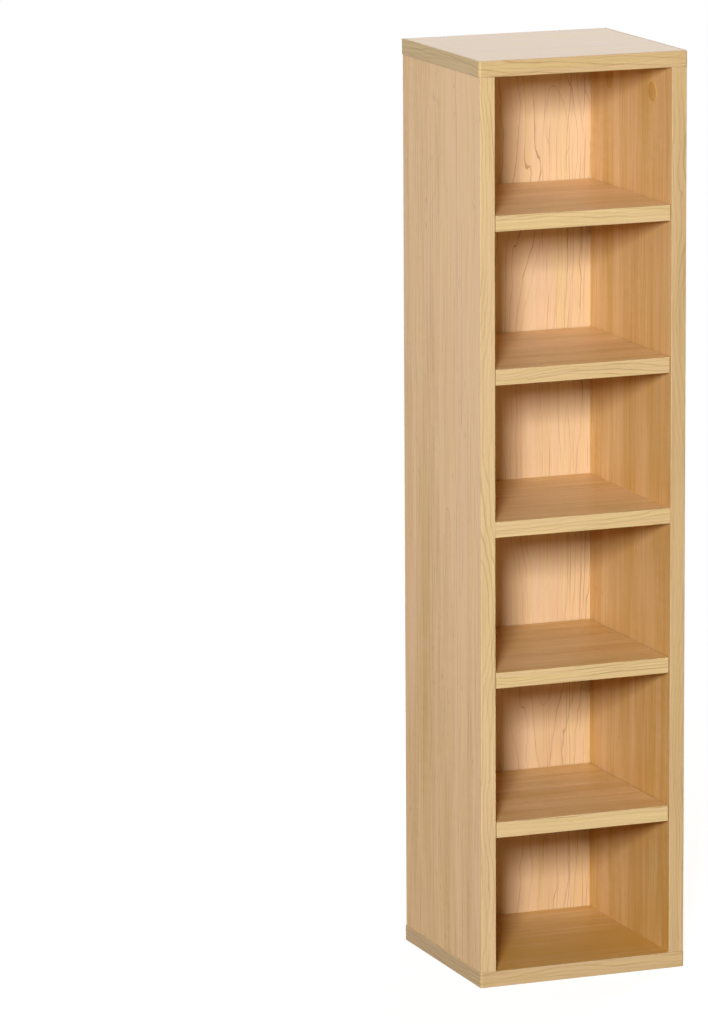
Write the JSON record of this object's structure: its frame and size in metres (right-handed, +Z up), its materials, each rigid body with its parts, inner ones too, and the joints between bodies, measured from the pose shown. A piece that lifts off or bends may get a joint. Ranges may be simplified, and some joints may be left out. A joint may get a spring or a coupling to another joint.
{
  "type": "cd dvd storage tower",
  "caption": "Narrow free-standing open tower for disc cases: maple-look boards, equal stacked compartments, a fixed middle shelf and loose shelves on pins.",
  "frame": {"origin": "middle of the underside of the bottom panel, at the middle of the overall width and depth", "axes": "+Z up; -Y towards the open front; +X towards the right side as seen from the front"},
  "size_m": [0.21, 0.195, 0.88],
  "materials": {
    "board": "maple-look melamine facing, satin",
    "edge_band": "maple-look edge strip, satin",
    "back_board": "maple-look printed thin board, satin",
    "steel": "zinc-plated, bright",
    "zinc": "die-cast, dull",
    "cap": "wood-coloured, matt"
  },
  "bodies": {
    "carcass": {"side_panel_left": "board", "side_panel_right": "board", "top_panel": "board", "bottom_panel": "board", "fixed_shelf": "board", "side_panel_left_edge_band": "edge_band", "side_panel_right_edge_band": "edge_band", "top_panel_edge_band": "edge_band", "bottom_panel_edge_band": "edge_band", "fixed_shelf_edge_band": "edge_band", "back_board": "back_board", "top_cam_lock_left_front": "zinc", "top_cam_lock_left_rear": "zinc", "top_cam_lock_right_front": "zinc", "top_cam_lock_right_rear": "zinc", "shelf_cam_lock_left_front": "zinc", "shelf_cam_lock_left_rear": "zinc", "shelf_cam_lock_right_front": "zinc", "shelf_cam_lock_right_rear": "zinc", "top_cam_bolt_left_front": "steel", "top_cam_bolt_left_rear": "steel", "top_cam_bolt_right_front": "steel", "top_cam_bolt_right_rear": "steel", "shelf_cam_bolt_left_front": "steel", "shelf_cam_bolt_left_rear": "steel", "shelf_cam_bolt_right_front": "steel", "shelf_cam_bolt_right_rear": "steel", "cam_cover_cap_left_front": "cap", "cam_cover_cap_left_rear": "cap", "cam_cover_cap_right_front": "cap", "cam_cover_cap_right_rear": "cap", "base_screw_left_front": "steel", "base_screw_left_rear": "steel", "base_screw_right_front": "steel", "base_screw_right_rear": "steel", "shelf_pin_1_left_front": "steel", "shelf_pin_1_left_rear": "steel", "shelf_pin_1_right_front": "steel", "shelf_pin_1_right_rear": "steel", "shelf_pin_2_left_front": "steel", "shelf_pin_2_left_rear": "steel", "shelf_pin_2_right_front": "steel", "shelf_pin_2_right_rear": "steel", "shelf_pin_3_left_front": "steel", "shelf_pin_3_left_rear": "steel", "shelf_pin_3_right_front": "steel", "shelf_pin_3_right_rear": "steel", "shelf_pin_4_left_front": "steel", "shelf_pin_4_left_rear": "steel", "shelf_pin_4_right_front": "steel", "shelf_pin_4_right_rear": "steel"},
    "removable_shelf_1": {"removable_shelf_1": "board", "removable_shelf_1_edge_band": "edge_band"},
    "removable_shelf_2": {"removable_shelf_2": "board", "removable_shelf_2_edge_band": "edge_band"},
    "removable_shelf_3": {"removable_shelf_3": "board", "removable_shelf_3_edge_band": "edge_band"},
    "removable_shelf_4": {"removable_shelf_4": "board", "removable_shelf_4_edge_band": "edge_band"}
  },
  "joints": [
    {"name": "removable_shelf_1_slide", "type": "slide", "parent": "carcass", "child": "removable_shelf_1", "axis": [0, -1, 0], "range_m": [0, 0.2]},
    {"name": "removable_shelf_2_slide", "type": "slide", "parent": "carcass", "child": "removable_shelf_2", "axis": [0, -1, 0], "range_m": [0, 0.2]},
    {"name": "removable_shelf_3_slide", "type": "slide", "parent": "carcass", "child": "removable_shelf_3", "axis": [0, -1, 0], "range_m": [0, 0.2]},
    {"name": "removable_shelf_4_slide", "type": "slide", "parent": "carcass", "child": "removable_shelf_4", "axis": [0, -1, 0], "range_m": [0, 0.2]}
  ]
}
